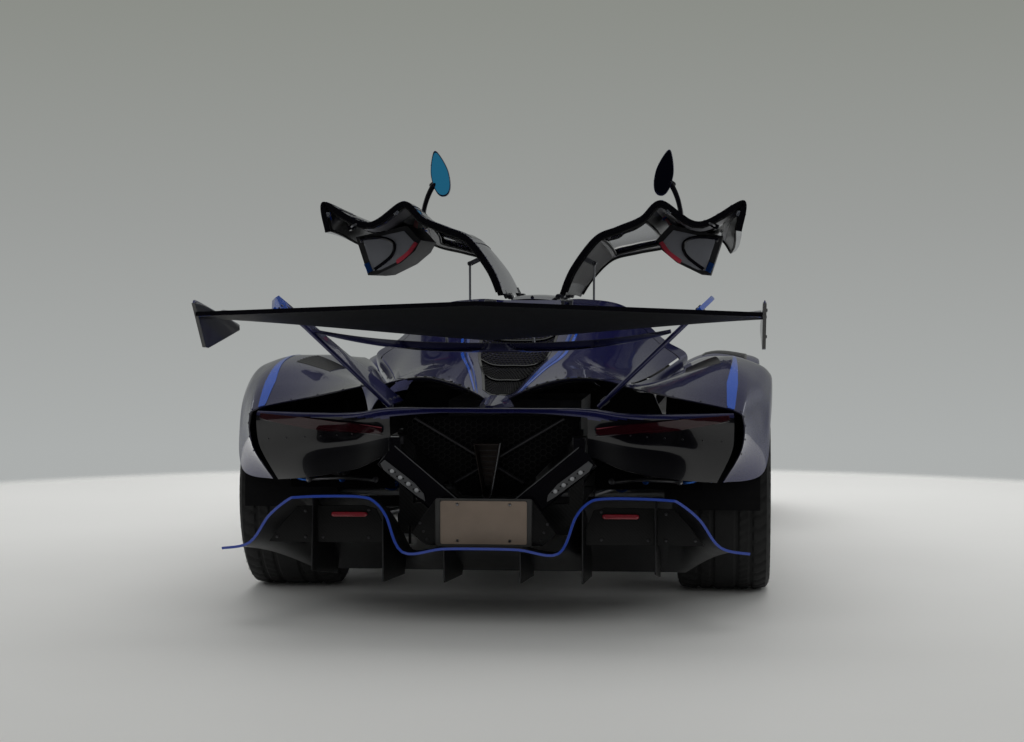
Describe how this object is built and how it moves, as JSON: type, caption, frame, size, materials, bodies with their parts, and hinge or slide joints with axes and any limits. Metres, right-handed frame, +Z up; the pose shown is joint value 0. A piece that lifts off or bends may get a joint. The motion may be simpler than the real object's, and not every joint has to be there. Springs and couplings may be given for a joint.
{
  "type": "track hypercar",
  "caption": "Low gull-wing track coupe with a swan-neck rear wing, stepped diffuser, steered front wheels, lifting engine cover and doors shown open.",
  "frame": {"origin": "on the ground under the middle of the car's length and width", "axes": "+X to the car's right, +Y forwards, +Z up"},
  "size_m": [1.988, 5.065, 1.7825],
  "materials": {
    "carbon": "clear-coated black carbon weave",
    "paint": "deep midnight purple gloss over carbon",
    "glass": "tinted glazing",
    "lamp_lens": "clear lamp lens over reflectors",
    "liner": "matte black moulding",
    "gloss_black": "gloss black lacquer",
    "lamp_red": "smoked red lamp lens",
    "plate": "blank pressed plate",
    "exhaust_metal": "heat-tinted steel",
    "matte_carbon": "matte black carbon weave",
    "engine_metal": "cast block",
    "seat_fabric": "suede-like woven cover",
    "dash": "soft matte trim",
    "wheel_leather": "perforated leather rim",
    "suspension_metal": "coated steel tube",
    "upright_metal": "machined aluminium",
    "strut_black": "black lacquered tube",
    "rod_steel": "polished rod",
    "tyre": "black rubber",
    "rim": "dark forged alloy"
  },
  "bodies": {
    "chassis": {"tub": "carbon", "roof_spine": "paint", "windshield_frame": "carbon", "windshield": "glass", "nose": "paint", "front_fenders": "paint", "headlights": "lamp_lens", "front_splitter": "carbon", "arch_liners": "liner", "side_pods": "carbon", "rear_fenders": "paint", "rear_deck": "paint", "tail_panel": "gloss_black", "tail_frame": "gloss_black", "rear_lights": "lamp_red", "number_plate": "plate", "exhaust": "exhaust_metal", "rear_bumper": "carbon", "diffuser": "carbon", "rear_wing": "matte_carbon", "wing_endplates": "carbon", "wing_struts": "carbon", "engine_block": "engine_metal", "jack_pads": "upright_metal", "seats": "seat_fabric", "dashboard": "dash", "steering_wheel": "wheel_leather", "suspension": "suspension_metal"},
    "engine_lid": {"engine_cover": "paint"},
    "steer_left": {"knuckle_left": "upright_metal"},
    "steer_right": {"knuckle_right": "upright_metal"},
    "door_left_body": {"door_left": "paint", "door_glass_left": "glass"},
    "gas_tube_left": {"strut_tube_left": "strut_black"},
    "gas_rod_left": {"strut_rod_left": "rod_steel"},
    "wheel_front_left": {"tyre_front_left": "tyre", "rim_front_left": "rim"},
    "wheel_rear_left": {"tyre_rear_left": "tyre", "rim_rear_left": "rim"},
    "door_right_body": {"door_right": "paint", "door_glass_right": "glass"},
    "gas_tube_right": {"strut_tube_right": "strut_black"},
    "gas_rod_right": {"strut_rod_right": "rod_steel"},
    "wheel_front_right": {"tyre_front_right": "tyre", "rim_front_right": "rim"},
    "wheel_rear_right": {"tyre_rear_right": "tyre", "rim_rear_right": "rim"}
  },
  "joints": [
    {"name": "door_left", "type": "hinge", "parent": "chassis", "child": "door_left_body", "pos_m": [-0.104, 0, 1.1], "axis": [0, -1, 0], "range_deg": [0, 64]},
    {"name": "gas_tilt_left", "type": "hinge", "parent": "chassis", "child": "gas_tube_left", "pos_m": [-0.262, -0.424, 0.75], "axis": [0, -1, 0], "range_deg": [0, 8.38]},
    {"name": "gas_slide_left", "type": "slide", "parent": "gas_tube_left", "child": "gas_rod_left", "axis": [-0.0033, 0, 1], "range_m": [-0.2205, 0]},
    {"name": "door_right", "type": "hinge", "parent": "chassis", "child": "door_right_body", "pos_m": [0.104, 0, 1.1], "axis": [0, 1, 0], "range_deg": [0, 64]},
    {"name": "gas_tilt_right", "type": "hinge", "parent": "chassis", "child": "gas_tube_right", "pos_m": [0.262, -0.424, 0.75], "axis": [0, 1, 0], "range_deg": [0, 8.38]},
    {"name": "gas_slide_right", "type": "slide", "parent": "gas_tube_right", "child": "gas_rod_right", "axis": [0.0033, 0, 1], "range_m": [-0.2205, 0]},
    {"name": "engine_lid", "type": "hinge", "parent": "chassis", "child": "engine_lid", "pos_m": [0, -0.573, 1.08133], "axis": [-1, 0, 0], "range_deg": [0, 40]},
    {"name": "steer_left", "type": "hinge", "parent": "chassis", "child": "steer_left", "pos_m": [-0.76, 1.36, 0.345], "axis": [0, 0, 1], "range_deg": [-28, 28]},
    {"name": "steer_right", "type": "hinge", "parent": "chassis", "child": "steer_right", "pos_m": [0.76, 1.36, 0.345], "axis": [0, 0, 1], "range_deg": [-28, 28]},
    {"name": "wheel_front_left", "type": "hinge", "parent": "steer_left", "child": "wheel_front_left", "pos_m": [-0.827, 1.36, 0.345], "axis": [1, 0, 0], "continuous": true},
    {"name": "wheel_rear_left", "type": "hinge", "parent": "chassis", "child": "wheel_rear_left", "pos_m": [-0.813, -1.34, 0.3625], "axis": [1, 0, 0], "continuous": true},
    {"name": "wheel_front_right", "type": "hinge", "parent": "steer_right", "child": "wheel_front_right", "pos_m": [0.827, 1.36, 0.345], "axis": [1, 0, 0], "continuous": true},
    {"name": "wheel_rear_right", "type": "hinge", "parent": "chassis", "child": "wheel_rear_right", "pos_m": [0.813, -1.34, 0.3625], "axis": [1, 0, 0], "continuous": true}
  ],
  "couplings": [
    {"joint": "gas_tilt_left", "follows": "door_left", "ratio": 0.12314},
    {"joint": "gas_slide_left", "follows": "door_left", "m_per_rad": -0.19654},
    {"joint": "gas_tilt_right", "follows": "door_right", "ratio": 0.12314},
    {"joint": "gas_slide_right", "follows": "door_right", "m_per_rad": -0.19654},
    {"joint": "steer_right", "follows": "steer_left", "ratio": 1}
  ]
}
